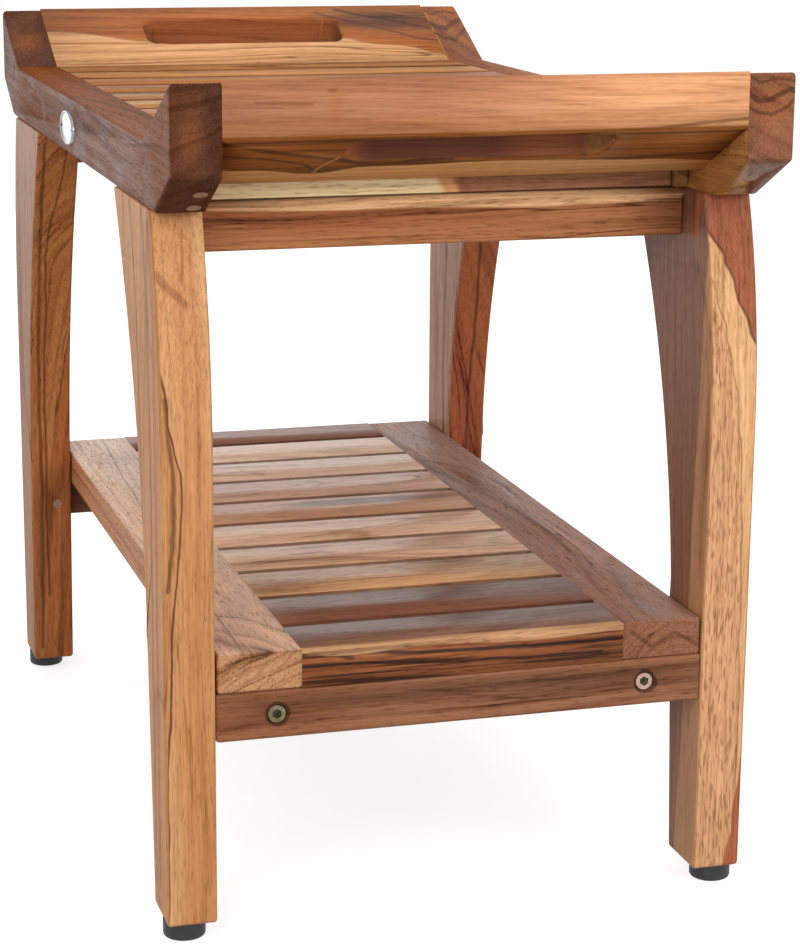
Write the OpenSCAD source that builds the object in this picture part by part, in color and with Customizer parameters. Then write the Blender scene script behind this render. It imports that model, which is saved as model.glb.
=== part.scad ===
// Teak shower bench: a slatted seat between two boat-shaped side rails with raised, slotted arm
// boards, on four curved legs that carry a slatted shelf.
// X runs along the bench, +Y points to its back and +Z up. The origin is on the floor under the
// middle of the bench. Pieces are drawn at the +X end and on the +Y side, then mirrored.

/* [Bench] */
// Length over the ends of the side rails
bench_length = 610; // [590:1:680]
// Depth over the outer faces of the side rails
bench_depth = 343; // [310:1:420]
// Height of the seat
seat_height = 444.5; // [410:0.5:480]
// Rise of the raised ends above the seat
arm_rise = 35.5; // [30:0.5:44]

/* [Side rails] */
// Thickness of a side rail
rail_t = 27.5; // [25:0.5:34]
// Height of a side rail between the seat and the legs
rail_h = 36.5; // [34:0.5:44]
// Height of the upright face at each end of a side rail
rail_end_h = 48.6; // [42:0.1:54]
// Length along the bench of the slope under each end
rail_bevel_run = 44.75; // [38:0.25:50]
// Length along the bench of the slope on top of each end
arm_run = 73.5; // [70:0.5:90]

/* [Arm boards] */
// Thickness of an arm board, square to its top
arm_t = 27; // [24:0.5:28]
// Width of the hand slot
slot_w = 34; // [28:0.5:38]
// Length of the hand slot
slot_l = 145; // [110:1:180]
// Radius of the corners of the hand slot
slot_r = 10; // [4:0.5:14]
// Distance down the slope from the top edge to the hand slot
slot_margin = 17.5; // [14:0.5:22]
// Length of the tenon that goes into a side rail
arm_tenon_l = 18; // [12:0.5:20]
// Thickness of that tenon
arm_tenon_t = 12; // [9:0.5:14]
// Distance from the lower edge of the board to that tenon
arm_tenon_low = 6; // [4:0.5:10]
// Distance down the slope from the top edge to that tenon
arm_tenon_high = 20; // [16:0.5:26]

/* [Arm pegs] */
// Diameter of the pegs that lock the arm tenons
arm_peg_d = 8; // [6:0.5:9]
// Length of those pegs
arm_peg_l = 38; // [34:0.5:39]
// Distances down the lower slope from the upright end face to the two pegs
arm_peg_places = [24.8, 44.2]; // [20:0.1:46]
// Distances from the inner faces of the front and the back rail to their pegs
arm_peg_depths = [7, 13]; // [6:0.5:13.5]

/* [Seat] */
// Number of seat slats
seat_slat_count = 9; // [7:1:11]
// Thickness of a seat slat
seat_slat_t = 18; // [15:0.5:20]
// Gap between seat slats
seat_slat_gap = 5.5; // [3:0.5:9]
// Gap between the outer slats and the arm boards
seat_end_gap = 2; // [1:0.5:4]
// Thickness of the ledger that carries the slats on each rail
ledger_t = 8.5; // [8:0.5:14]
// Distance from the arm board to the end of a ledger
ledger_inset = 5.5; // [3:0.5:9]
// Width of the cross rail under each end of the seat
cross_rail_w = 22; // [18:0.5:26]
// Distance from the arm board to a cross rail
cross_rail_inset = 9.5; // [8:0.5:14]

/* [Legs] */
// Thickness of a leg
leg_t = 28.5; // [26:0.5:34]
// Width of a leg at its foot
leg_foot_w = 38; // [34:0.5:46]
// Distance from the end of the bench to the foot of a leg
leg_inset = 35.5; // [33:0.5:50]
// How far the leg leans outwards from its foot to its shoulder
leg_lean = 1.5; // [0:0.5:4]
// Height of the shoulder, where the outer edge starts to curve
leg_shoulder_h = 280; // [240:1:320]
// Radius of the outer edge above the shoulder
leg_outer_r = 400; // [350:5:600]
// Reach of a leg under the rail, from its foot to the tip of its bracket
leg_reach = 127.5; // [120:0.5:135]
// Lean of the lower part of the inner edge
leg_inner_angle = 4; // [2:0.5:6]
// Lean of the inner edge under the seat
leg_bracket_angle = 28; // [26:0.5:32]
// Radius between these two parts of the inner edge
leg_inner_r = 520; // [350:10:560]
// Diameter of the dowels between a leg and its rail
dowel_d = 10; // [8:0.5:12]
// Length of those dowels
dowel_l = 50; // [40:1:54]
// Distances of the two dowels from the tip of the bracket
dowel_places = [23, 96]; // [20:1:100]

/* [Aprons] */
// Thickness of an apron
apron_t = 25; // [20:0.5:28]
// Height of an apron
apron_h = 27.5; // [24:0.5:36]
// Distance from the arm board to the outer face of an apron
apron_inset = 9; // [7:0.5:14]
// Radius along the top outer edge of an apron
apron_edge_r = 4; // [1:0.5:6]
// Length of the tenons at the ends of an apron
apron_tenon_l = 18; // [12:0.5:20]
// Width and height of those tenons
apron_tenon = [13, 17]; // [10:0.5:18]

/* [Stretchers and shelf] */
// Thickness of a stretcher
stretcher_t = 25; // [20:0.5:28]
// Height of a stretcher
stretcher_h = 28; // [24:0.5:34]
// Height of the underside of a stretcher
stretcher_z = 116; // [90:1:150]
// Length of the tenons at the ends of a stretcher
stretcher_tenon_l = 20; // [14:0.5:22]
// Width and height of those tenons
stretcher_tenon = [13, 18]; // [10:0.5:20]
// Diameter of the pegs that lock those tenons
leg_peg_d = 6.5; // [5:0.5:8]
// Length of those pegs
leg_peg_l = 36; // [34:0.5:38]
// Thickness of the shelf
shelf_t = 22; // [18:0.5:26]
// Gap between the shelf and the legs
shelf_side_gap = 1; // [0.5:0.1:3]
// Width of the long boards at the sides of the shelf
shelf_rail_w = 47.5; // [42:0.5:54]
// Number of shelf slats
shelf_slat_count = 10; // [8:1:12]
// Gap between shelf slats
shelf_slat_gap = 5.5; // [3:0.5:9]
// How much narrower the end slats of the shelf are than the others
shelf_end_trim = 6.8; // [0:0.2:12]
// Thickness of the tongues on the slats
tongue_t = 8; // [5:0.5:10]
// Length of the tongues on the slats
tongue_l = 10; // [6:0.5:11]
// Shoulder on each side of a tongue
tongue_shoulder = 6; // [3:0.5:10]
// Width of the battens that hang the shelf between the stretchers
batten_w = 30; // [26:0.5:36]
// Distance from the side of the shelf to the middle of a batten
batten_inset = 33.5; // [30:0.5:34]

/* [Bolts] */
// Thread diameter of the frame bolts
bolt_d = 6; // [5:0.5:8]
// Diameter of the bolt heads
bolt_head_d = 10; // [9:0.5:13]
// Height of the bolt heads
bolt_head_h = 6; // [5:0.5:8]
// Width across the flats of the hexagon socket
hex_af = 5; // [4:0.5:6]
// Depth of the hexagon socket
hex_depth = 3; // [2:0.5:4]
// Length of the shelf bolts under the head
shelf_bolt_l = 35; // [32:1:38]
// Length of the apron bolts under the head
apron_bolt_l = 30; // [29:1:34]
// Distance from the middle of the bench to the apron bolts
apron_bolt_place = 70; // [50:1:100]
// Depth of the head below the face of the wood
head_sink = 1; // [0.5:0.1:2]
// Clearance round the head in its counterbore, on the radius
head_play = 0.8; // [0.2:0.1:1.2]
// Outer diameter of the threaded brass inserts
insert_d = 10; // [9:0.5:12]
// Length of the threaded brass inserts
insert_l = 13; // [10:0.5:14]

/* [Screws] */
// Diameter of the wood screws
screw_d = 4; // [3:0.5:5]
// Diameter of their heads
screw_head_d = 7.4; // [6:0.2:8]
// Length of the screws that hold the seat slats
seat_screw_l = 30; // [24:1:34]
// Length of the screws that hold the ledgers
ledger_screw_l = 28; // [22:1:32]
// Distance from the middle of the bench to the screws in a cross rail
cross_screw_place = 30; // [15:1:45]
// Length of the screws that hold the shelf
shelf_screw_l = 40; // [36:1:44]
// Distance from a stretcher to the outer shelf screws
shelf_screw_inset = 45; // [40:1:80]
// Number of shelf screws in each batten
shelf_screw_count = 5; // [3:1:7]

/* [Badge] */
// Length and height of the oval plate
badge_size = [48, 21]; // [18:1:52]
// How far the plate stands proud of the rail
badge_t = 1.5; // [1:0.1:2]
// Place of the plate along the rail
badge_x = -15.5; // [-60:0.5:60]
// Distance from the seat down to the middle of the plate
badge_drop = 20; // [15:0.5:22]
// Diameter of its pins
badge_pin_d = 2.2; // [1.6:0.1:3]
// Distance from the middle of the plate to its pins
badge_pin_place = 20; // [16:0.5:21]
// Length of its pins behind the plate
badge_pin_l = 8; // [5:0.5:12]

/* [Feet] */
// Diameter of a foot pad
pad_d = 24; // [20:0.5:28]
// Height of a foot pad, and of the legs above the floor
pad_h = 10; // [8:0.5:14]
// Radius of the rim of a foot pad
pad_rim = 2; // [0.5:0.5:3]
// Distance from the outer edge of the foot of a leg to the middle of its pad
pad_inset = 13.7; // [12.5:0.1:19]
// Distance from the outer side of a leg to the middle of its pad
pad_side = 12; // [11.5:0.5:14]
// Diameter of the threaded stud of a foot
stud_d = 8; // [6:0.5:10]
// Length of the stud above the pad
stud_l = 24; // [18:1:34]
// Depth of the stud inside the pad
stud_sink = 5; // [3:0.5:7]
// Outer diameter of the threaded insert in a leg
foot_insert_d = 12; // [11.5:0.5:14]
// Length of the threaded insert in a leg
foot_insert_l = 18; // [14:0.5:22]
// Running clearance of the stud in its insert, on the radius
stud_play = 0.05; // [0.02:0.01:0.1]
// Clearance round the stud in the wood above its insert, on the radius
stud_hole_play = 0.5; // [0.3:0.1:1]

/* [Fit] */
// Clearance round tenons and tongues, on each side
tenon_play = 0.1; // [0:0.05:0.3]
// Clearance at the end of a blind mortise
mortise_end = 0.5; // [0.2:0.1:1]
// Clearance round bolts and pins, on the radius
bore_play = 0.05; // [0.02:0.01:0.2]

/* [Hidden] */
$fn = 96;
ENDS = [["left", -1], ["right", 1]];
SIDES = [["front", -1], ["back", 1]];

// How far a cut reaches past the face that it opens
over = 1;

// Planes that several pieces share
bench_height = seat_height + arm_rise;
end_x = bench_length / 2;
rail_y = bench_depth / 2;
rail_inner_y = rail_y - rail_t;
rail_z = seat_height - rail_h;
slat_z = seat_height - seat_slat_t;
leg_inner_y = rail_y - leg_t;
seat_end_x = end_x - arm_run;

// Slope of an arm board, and its length from the top edge down to the seat
arm_angle = atan(arm_rise / arm_run);
arm_w = norm([arm_run, arm_rise]);

// Slope under the end of a side rail
bevel_z = bench_height - rail_end_h;
bevel_angle = atan((bevel_z - rail_z) / rail_bevel_run);

// Outline of a leg: the straight lower and upper parts of its inner edge, and the arc between
foot_outer_x = end_x - leg_inset;
foot_inner_x = foot_outer_x - leg_foot_w;
shoulder_x = foot_outer_x + leg_lean;
bracket_x = foot_outer_x - leg_reach;
lower_way = [-sin(leg_inner_angle), cos(leg_inner_angle)];
upper_way = [-sin(leg_bracket_angle), cos(leg_bracket_angle)];
inner_rise = [bracket_x - foot_inner_x, rail_z - pad_h];
lower_run = cross(inner_rise, upper_way) / cross(lower_way, upper_way);
arc_corner = [foot_inner_x, pad_h] + lower_run * lower_way;
arc_reach = leg_inner_r * tan((leg_bracket_angle - leg_inner_angle) / 2);
arc_start = arc_corner - arc_reach * lower_way;
arc_end = arc_corner + arc_reach * upper_way;
arc_centre = arc_start + leg_inner_r * [-lower_way[1], lower_way[0]];

// Cross rails and aprons
ledger_y = rail_inner_y - ledger_t;
cross_rail_x = seat_end_x - cross_rail_inset;
apron_x = seat_end_x - apron_inset;
apron_z = rail_z - apron_h;
apron_bolt_x = cross_rail_x - cross_rail_w / 2;
apron_bolt_z = apron_z + head_sink + bolt_head_h;

// Stretchers and shelf
stretcher_x = foot_outer_x + leg_lean * (stretcher_z - pad_h) / (leg_shoulder_h - pad_h);
stretcher_inner_x = stretcher_x - stretcher_t;
stretcher_mid_z = stretcher_z + stretcher_h / 2;
leg_peg_x = foot_inner_x - (stretcher_mid_z - pad_h) * tan(leg_inner_angle);
leg_peg_y = leg_inner_y + stretcher_tenon_l / 2;
shelf_z = stretcher_z + stretcher_h;
shelf_y = leg_inner_y - shelf_side_gap;
shelf_inner_y = shelf_y - shelf_rail_w;
batten_y = shelf_y - batten_inset;
shelf_bolt_x = stretcher_x - head_sink - bolt_head_h;

// Slats
seat_slat_w = (2 * (seat_end_x - seat_end_gap) - (seat_slat_count - 1) * seat_slat_gap)
    / seat_slat_count;
seat_pitch = seat_slat_w + seat_slat_gap;
seat_slat_x = [for (i = [1 : seat_slat_count]) seat_pitch * (i - (seat_slat_count + 1) / 2)];
shelf_slat_w = (2 * (stretcher_x + shelf_end_trim) - (shelf_slat_count - 1) * shelf_slat_gap)
    / shelf_slat_count;
shelf_pitch = shelf_slat_w + shelf_slat_gap;
shelf_slat_x = [for (i = [1 : shelf_slat_count]) shelf_pitch * (i - (shelf_slat_count + 1) / 2)];

// Badge and feet
badge_z = seat_height - badge_drop;
pad_x = foot_outer_x - pad_inset;
pad_y = rail_y - pad_side;

// Draws its children at the right end, or mirrored at the left end
module at_end(e) {
    mirror([e[1] < 0 ? 1 : 0, 0, 0]) children();
}

// Draws its children at the back, or mirrored at the front
module at_side(s) {
    mirror([0, s[1] < 0 ? 1 : 0, 0]) children();
}

// Draws its children at both ends and both sides
module at_corners() {
    for (s = SIDES, e = ENDS) at_side(s) at_end(e) children();
}

// Stands an outline drawn in X and Z up between two values of Y
module across(from_y, to_y) {
    translate([0, to_y, 0]) rotate([90, 0, 0]) linear_extrude(height = to_y - from_y) children();
}

// Lays its children on the right arm board: X runs down the slope from the top edge, Z out of it
module on_slope() {
    translate([end_x, 0, bench_height]) rotate([0, 180 - arm_angle, 0]) mirror([0, 0, 1])
        children();
}

// A countersunk wood screw with the face of its head at the origin, pointing towards +Z
module wood_screw(length) {
    rotate_extrude() polygon([
        [0, 0], [screw_head_d / 2, 0], [screw_d / 2, (screw_head_d - screw_d) / 2],
        [screw_d / 2, length - screw_d], [0, length]
    ]);
}

// A socket head bolt with the underside of its head at the origin, pointing towards +Z
module frame_bolt(length) {
    difference() {
        union() {
            translate([0, 0, -bolt_head_h]) cylinder(h = bolt_head_h, d = bolt_head_d);
            cylinder(h = length, d = bolt_d);
        }
        translate([0, 0, -bolt_head_h - over])
            cylinder(h = hex_depth + over, d = hex_af / cos(30), $fn = 6);
    }
}

// The counterbored hole for such a bolt
module bolt_hole(length) {
    translate([0, 0, -bolt_head_h - head_sink - over])
        cylinder(h = bolt_head_h + head_sink + over, d = bolt_head_d + 2 * head_play);
    translate([0, 0, -over])
        cylinder(h = length + mortise_end + over, d = bolt_d + 2 * bore_play);
}

// A threaded sleeve with its mouth at the origin, reaching into the wood towards +Z
module sleeve(outer_d, inner_d, length) {
    difference() {
        cylinder(h = length, d = outer_d);
        translate([0, 0, -over]) cylinder(h = length + 2 * over, d = inner_d);
    }
}

// Outline of a side rail, seen along Y
module side_rail_outline() {
    right = [
        [end_x - rail_bevel_run, rail_z], [end_x, bevel_z], [end_x, bench_height],
        [seat_end_x, seat_height]
    ];
    left = [for (i = [len(right) - 1 : -1 : 0]) [-right[i][0], right[i][1]]];
    polygon(concat(right, left));
}

// The tenon of an arm board, or with a clearance its mortise
module arm_tenon(play, end) {
    on_slope() translate([
        arm_tenon_high - play, rail_inner_y - over, -(arm_t + arm_tenon_t) / 2 - play
    ]) cube([
        arm_w - arm_tenon_high - arm_tenon_low + 2 * play,
        arm_tenon_l + over + end,
        arm_tenon_t + 2 * play
    ]);
}

// The two pegs under the end of the rail on side s, square to its lower slope
module arm_peg_pair(s, reach) {
    depth = arm_peg_depths[s[1] < 0 ? 0 : 1];
    for (place = arm_peg_places)
        translate([end_x, rail_inner_y + depth, bevel_z]) rotate([0, -bevel_angle, 0])
            translate([-place, 0, -reach]) cylinder(h = arm_peg_l + reach, d = arm_peg_d);
}

// The two dowels between a leg and its rail
module dowel_pair() {
    for (place = dowel_places)
        translate([bracket_x + place, rail_y - leg_t / 2, rail_z - dowel_l / 2])
            cylinder(h = dowel_l, d = dowel_d);
}

// The screws from a ledger into its rail, in every other gap between seat slats
module ledger_screw_row() {
    last = seat_slat_x[seat_slat_count - 1];
    for (i = [0 : 2 : seat_slat_count / 2 - 1], way = [-1, 1])
        translate([way * (last - (i + 0.5) * seat_pitch), ledger_y, (rail_z + slat_z) / 2])
            rotate([-90, 0, 0]) wood_screw(ledger_screw_l);
}

// The screws that come up into seat slat i through the ledgers and the cross rails
module seat_screw_set(i) {
    for (s = SIDES) at_side(s)
        translate([seat_slat_x[i], rail_inner_y - ledger_t / 2, rail_z]) wood_screw(seat_screw_l);
    if (i == 0 || i == seat_slat_count - 1)
        for (y = [-cross_screw_place, cross_screw_place])
            translate([(i == 0 ? -1 : 1) * apron_bolt_x, y, rail_z]) wood_screw(seat_screw_l);
}

// The two pins of the badge, from their heads into the front rail
module badge_pin_pair(d) {
    for (way = [-1, 1])
        translate([badge_x + way * badge_pin_place, -rail_y - badge_t, badge_z])
            rotate([-90, 0, 0]) cylinder(h = badge_t + badge_pin_l, d = d);
}

module side_rail(s) {
    color("sienna") difference() {
        at_side(s) difference() {
            across(rail_inner_y, rail_y) side_rail_outline();
            for (e = ENDS) at_end(e) {
                arm_tenon(tenon_play, mortise_end);
                arm_peg_pair(s, over);
                dowel_pair();
            }
            ledger_screw_row();
        }
        badge_pin_pair(badge_pin_d);
    }
}

// Outline of the hand slot, centred: a wide and a narrow rectangle, and a disc in each corner
module hand_slot_outline() {
    square([slot_w - 2 * slot_r, slot_l], center = true);
    square([slot_w, slot_l - 2 * slot_r], center = true);
    for (x = [-1, 1] * (slot_w / 2 - slot_r), y = [-1, 1] * (slot_l / 2 - slot_r))
        translate([x, y]) circle(slot_r);
}

module arm_board(e) {
    color("peru") at_end(e) difference() {
        union() {
            across(-rail_inner_y, rail_inner_y) polygon([
                [end_x, bench_height], [seat_end_x, seat_height],
                [seat_end_x + arm_t * sin(arm_angle), seat_height - arm_t * cos(arm_angle)],
                [end_x, bench_height - arm_t / cos(arm_angle)]
            ]);
            for (s = SIDES) at_side(s) arm_tenon(0, 0);
        }
        on_slope() translate([slot_margin + slot_w / 2, 0, -arm_t - over])
            linear_extrude(height = arm_t + 2 * over) hand_slot_outline();
        for (s = SIDES) at_side(s) arm_peg_pair(s, 0);
    }
}

module seat_slat(i) {
    color("burlywood") difference() {
        translate([seat_slat_x[i] - seat_slat_w / 2, -rail_inner_y, slat_z])
            cube([seat_slat_w, 2 * rail_inner_y, seat_slat_t]);
        seat_screw_set(i);
    }
}

module ledger(s) {
    half = seat_end_x - ledger_inset;
    color("tan") difference() {
        at_side(s) translate([-half, ledger_y, rail_z])
            cube([2 * half, ledger_t, slat_z - rail_z]);
        at_side(s) ledger_screw_row();
        for (i = [0 : seat_slat_count - 1]) seat_screw_set(i);
    }
}

// Places its children at the heads of the apron bolts of the right end, pointing up
module at_apron_bolts() {
    for (y = [-apron_bolt_place, apron_bolt_place]) translate([apron_bolt_x, y, apron_bolt_z])
        children();
}

// The rail under the outer seat slat, which takes the bolts of the apron
module cross_rail(e) {
    color("chocolate") difference() {
        at_end(e) difference() {
            translate([cross_rail_x - cross_rail_w, -ledger_y, rail_z])
                cube([cross_rail_w, 2 * ledger_y, slat_z - rail_z]);
            at_apron_bolts() {
                bolt_hole(apron_bolt_l);
                translate([0, 0, rail_z - apron_bolt_z - over])
                    cylinder(h = insert_l + over, d = insert_d);
            }
        }
        for (i = [0, seat_slat_count - 1]) seat_screw_set(i);
    }
}

// The tenon of an apron, or with a clearance its mortise
module apron_tenon_block(play, end) {
    translate([
        apron_x - (apron_t + apron_tenon[0]) / 2 - play, leg_inner_y - over,
        apron_z + (apron_h - apron_tenon[1]) / 2 - play
    ]) cube([apron_tenon[0] + 2 * play, apron_tenon_l + over + end, apron_tenon[1] + 2 * play]);
}

// A rail between two legs, with a rounded top outer edge
module apron(e) {
    color("sienna") at_end(e) difference() {
        union() {
            across(-leg_inner_y, leg_inner_y) {
                translate([apron_x - apron_t, apron_z]) square([apron_t, apron_h - apron_edge_r]);
                translate([apron_x - apron_t, apron_z]) square([apron_t - apron_edge_r, apron_h]);
                translate([apron_x - apron_edge_r, rail_z - apron_edge_r]) circle(apron_edge_r);
            }
            for (s = SIDES) at_side(s) apron_tenon_block(0, 0);
        }
        at_apron_bolts() bolt_hole(apron_bolt_l);
    }
}

// Outline of a leg, seen along Y: its inner edge is hollowed by an arc, its outer edge is round
// above the shoulder
module leg_outline() {
    difference() {
        polygon([
            [foot_outer_x, pad_h], [shoulder_x, leg_shoulder_h], [shoulder_x, rail_z],
            [bracket_x, rail_z], arc_end, arc_start, [foot_inner_x, pad_h]
        ]);
        translate(arc_centre) circle(leg_inner_r, $fn = 360);
        difference() {
            translate([bracket_x, leg_shoulder_h]) square([leg_reach + 2 * leg_lean + over, rail_z]);
            translate([shoulder_x - leg_outer_r, leg_shoulder_h]) circle(leg_outer_r, $fn = 360);
        }
    }
}

// The tenon of a stretcher, or with a clearance its mortise
module stretcher_tenon_block(play, end) {
    translate([
        stretcher_x - (stretcher_t + stretcher_tenon[0]) / 2 - play, leg_inner_y - over,
        stretcher_mid_z - stretcher_tenon[1] / 2 - play
    ]) cube([
        stretcher_tenon[0] + 2 * play, stretcher_tenon_l + over + end,
        stretcher_tenon[1] + 2 * play
    ]);
}

// The round of the peg that locks a stretcher's tenon, from the inner edge of the leg
module leg_peg_round() {
    translate([leg_peg_x - over, leg_peg_y, stretcher_mid_z]) rotate([0, 90, 0])
        cylinder(h = leg_peg_l + over, d = leg_peg_d);
}

module leg(s, e) {
    color("goldenrod") at_side(s) at_end(e) difference() {
        across(leg_inner_y, rail_y) leg_outline();
        apron_tenon_block(tenon_play, mortise_end);
        stretcher_tenon_block(tenon_play, mortise_end);
        leg_peg_round();
        dowel_pair();
        translate([pad_x, pad_y, pad_h - over]) {
            cylinder(h = foot_insert_l + over, d = foot_insert_d);
            cylinder(h = stud_l + mortise_end + over, d = stud_d + 2 * stud_hole_play);
        }
    }
}

// Places its children at the heads of the shelf bolts of the right end, pointing inwards
module at_shelf_bolts() {
    for (y = [-batten_y, batten_y]) translate([shelf_bolt_x, y, stretcher_mid_z])
        rotate([0, -90, 0]) children();
}

module stretcher(e) {
    color("saddlebrown") at_end(e) difference() {
        union() {
            translate([stretcher_inner_x, -leg_inner_y, stretcher_z])
                cube([stretcher_t, 2 * leg_inner_y, stretcher_h]);
            for (s = SIDES) at_side(s) stretcher_tenon_block(0, 0);
        }
        for (s = SIDES) at_side(s) leg_peg_round();
        at_shelf_bolts() bolt_hole(shelf_bolt_l);
    }
}

// The tongues on both ends of shelf slat i, or with a clearance their mortises
module shelf_tongues(i, play, end) {
    width = shelf_slat_span(i)[1] - shelf_slat_span(i)[0] - 2 * tongue_shoulder + 2 * play;
    for (s = SIDES) at_side(s) translate([
        shelf_slat_span(i)[0] + tongue_shoulder - play, shelf_inner_y - over,
        shelf_z + (shelf_t - tongue_t) / 2 - play
    ]) cube([width, tongue_l + over + end, tongue_t + 2 * play]);
}

// The two edges of shelf slat i; the end slats stop at the stretchers' outer faces
function shelf_slat_span(i) = [
    max(shelf_slat_x[i] - shelf_slat_w / 2, -stretcher_x),
    min(shelf_slat_x[i] + shelf_slat_w / 2, stretcher_x)
];

// The screws that come up through the battens into the shelf's long boards
module shelf_screw_rows() {
    reach = stretcher_inner_x - shelf_screw_inset;
    for (i = [0 : shelf_screw_count - 1], s = SIDES) at_side(s)
        translate([reach * (2 * i / (shelf_screw_count - 1) - 1), batten_y, stretcher_z])
            wood_screw(shelf_screw_l);
}

module shelf_rail(s) {
    color("rosybrown") difference() {
        at_side(s) translate([-stretcher_x, shelf_inner_y, shelf_z])
            cube([2 * stretcher_x, shelf_rail_w, shelf_t]);
        for (i = [0 : shelf_slat_count - 1]) shelf_tongues(i, tenon_play, mortise_end);
        shelf_screw_rows();
    }
}

module shelf_slat(i) {
    color("tan") {
        translate([shelf_slat_span(i)[0], -shelf_inner_y, shelf_z])
            cube([shelf_slat_span(i)[1] - shelf_slat_span(i)[0], 2 * shelf_inner_y, shelf_t]);
        shelf_tongues(i, 0, 0);
    }
}

// A batten between the stretchers, under a long board of the shelf
module shelf_batten(s) {
    color("saddlebrown") difference() {
        at_side(s) translate([-stretcher_inner_x, batten_y - batten_w / 2, stretcher_z])
            cube([2 * stretcher_inner_x, batten_w, stretcher_h]);
        for (e = ENDS) at_end(e) at_shelf_bolts() {
            bolt_hole(shelf_bolt_l);
            translate([0, 0, shelf_bolt_x - stretcher_inner_x - over])
                cylinder(h = insert_l + over, d = insert_d);
        }
        shelf_screw_rows();
    }
}

module arm_pegs() {
    color("wheat") for (s = SIDES, e = ENDS) at_side(s) at_end(e) arm_peg_pair(s, 0);
}

// The stretcher pegs, cut off flush with the inner edges of the legs
module leg_pegs() {
    color("wheat") at_corners() intersection() {
        leg_peg_round();
        across(leg_inner_y, rail_y) leg_outline();
    }
}

module leg_dowels() {
    color("wheat") at_corners() dowel_pair();
}

module shelf_bolts() {
    color("silver") for (e = ENDS) at_end(e) at_shelf_bolts() frame_bolt(shelf_bolt_l);
}

module shelf_bolt_inserts() {
    color("gold") for (e = ENDS) at_end(e) at_shelf_bolts()
        translate([0, 0, shelf_bolt_x - stretcher_inner_x])
            sleeve(insert_d, bolt_d + 2 * bore_play, insert_l);
}

module apron_bolts() {
    color("silver") for (e = ENDS) at_end(e) at_apron_bolts() frame_bolt(apron_bolt_l);
}

module apron_bolt_inserts() {
    color("gold") for (e = ENDS) at_end(e) at_apron_bolts()
        translate([0, 0, rail_z - apron_bolt_z])
            sleeve(insert_d, bolt_d + 2 * bore_play, insert_l);
}

module seat_screws() {
    color("silver") for (i = [0 : seat_slat_count - 1]) seat_screw_set(i);
}

module ledger_screws() {
    color("silver") for (s = SIDES) at_side(s) ledger_screw_row();
}

module shelf_screws() {
    color("silver") shelf_screw_rows();
}

// An oval plate with a bare face
module badge_plate() {
    color("silver") difference() {
        across(-rail_y - badge_t, -rail_y) translate([badge_x, badge_z]) polygon([
            for (a = [0 : 5 : 355]) [badge_size[0] / 2 * cos(a), badge_size[1] / 2 * sin(a)]
        ]);
        badge_pin_pair(badge_pin_d);
    }
}

module badge_pins() {
    color("dimgray") badge_pin_pair(badge_pin_d);
}

module foot_inserts() {
    color("gold") at_corners() translate([pad_x, pad_y, pad_h])
        sleeve(foot_insert_d, stud_d + 2 * stud_play, foot_insert_l);
}

// A round pad with a rounded lower rim, moulded round the end of its stud
module foot_pad(s, e) {
    color("black") at_side(s) at_end(e) translate([pad_x, pad_y, 0]) difference() {
        rotate_extrude() {
            translate([0, pad_rim]) square([pad_d / 2, pad_h - pad_rim]);
            square([pad_d / 2 - pad_rim, pad_h]);
            translate([pad_d / 2 - pad_rim, pad_rim]) circle(pad_rim);
        }
        translate([0, 0, pad_h - stud_sink]) cylinder(h = stud_sink + over, d = stud_d);
    }
}

module foot_stud(s, e) {
    color("silver") at_side(s) at_end(e) translate([pad_x, pad_y, pad_h - stud_sink])
        cylinder(h = stud_sink + stud_l, d = stud_d);
}

for (s = SIDES) {
    side_rail(s);
    ledger(s);
    shelf_rail(s);
    shelf_batten(s);
}
for (e = ENDS) {
    arm_board(e);
    cross_rail(e);
    apron(e);
    stretcher(e);
}
for (s = SIDES, e = ENDS) {
    leg(s, e);
    foot_pad(s, e);
    foot_stud(s, e);
}
for (i = [1 : seat_slat_count])
    seat_slat(i - 1);
for (i = [1 : shelf_slat_count])
    shelf_slat(i - 1);
arm_pegs();
leg_pegs();
leg_dowels();
shelf_bolts();
shelf_bolt_inserts();
apron_bolts();
apron_bolt_inserts();
seat_screws();
ledger_screws();
shelf_screws();
badge_plate();
badge_pins();
foot_inserts();
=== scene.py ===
"""Teak shower bench: the finish of every board and fitting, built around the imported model.

Metres, +X along the bench towards the camera's end, +Y to its back, +Z up, and the origin on the
floor under the middle of the bench. The marks drawn on the boards are placed in millimetres.
"""

import math

import bpy
import numpy as np
from mathutils import Matrix, Vector


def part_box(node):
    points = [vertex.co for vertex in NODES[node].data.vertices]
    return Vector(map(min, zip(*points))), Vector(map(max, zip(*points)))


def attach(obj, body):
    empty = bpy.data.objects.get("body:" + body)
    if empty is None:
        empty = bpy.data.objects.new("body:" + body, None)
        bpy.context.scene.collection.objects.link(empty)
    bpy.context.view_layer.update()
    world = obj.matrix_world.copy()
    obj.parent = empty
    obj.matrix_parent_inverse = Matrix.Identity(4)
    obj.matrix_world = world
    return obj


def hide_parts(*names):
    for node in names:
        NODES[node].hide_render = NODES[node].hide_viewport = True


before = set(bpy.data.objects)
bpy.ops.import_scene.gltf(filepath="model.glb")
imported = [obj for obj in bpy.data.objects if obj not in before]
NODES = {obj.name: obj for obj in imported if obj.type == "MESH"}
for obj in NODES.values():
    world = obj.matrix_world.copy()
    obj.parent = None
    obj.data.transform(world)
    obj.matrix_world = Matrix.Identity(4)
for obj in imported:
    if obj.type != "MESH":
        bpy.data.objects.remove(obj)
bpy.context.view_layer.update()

# The photograph's frame and the camera that was solved from it
PHOTO_WIDTH_PX = 800
FOCAL_PX = 2534.68
SENSOR_MM = 36.0
CAMERA_PLACE = (1.56004, -0.42041, 0.59165)
CAMERA_AZIMUTH = 73.53
CAMERA_ELEVATION = 13.72
CAMERA_ROLL = 0.40
CAMERA_CLIP = (0.05, 50.0)

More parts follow.
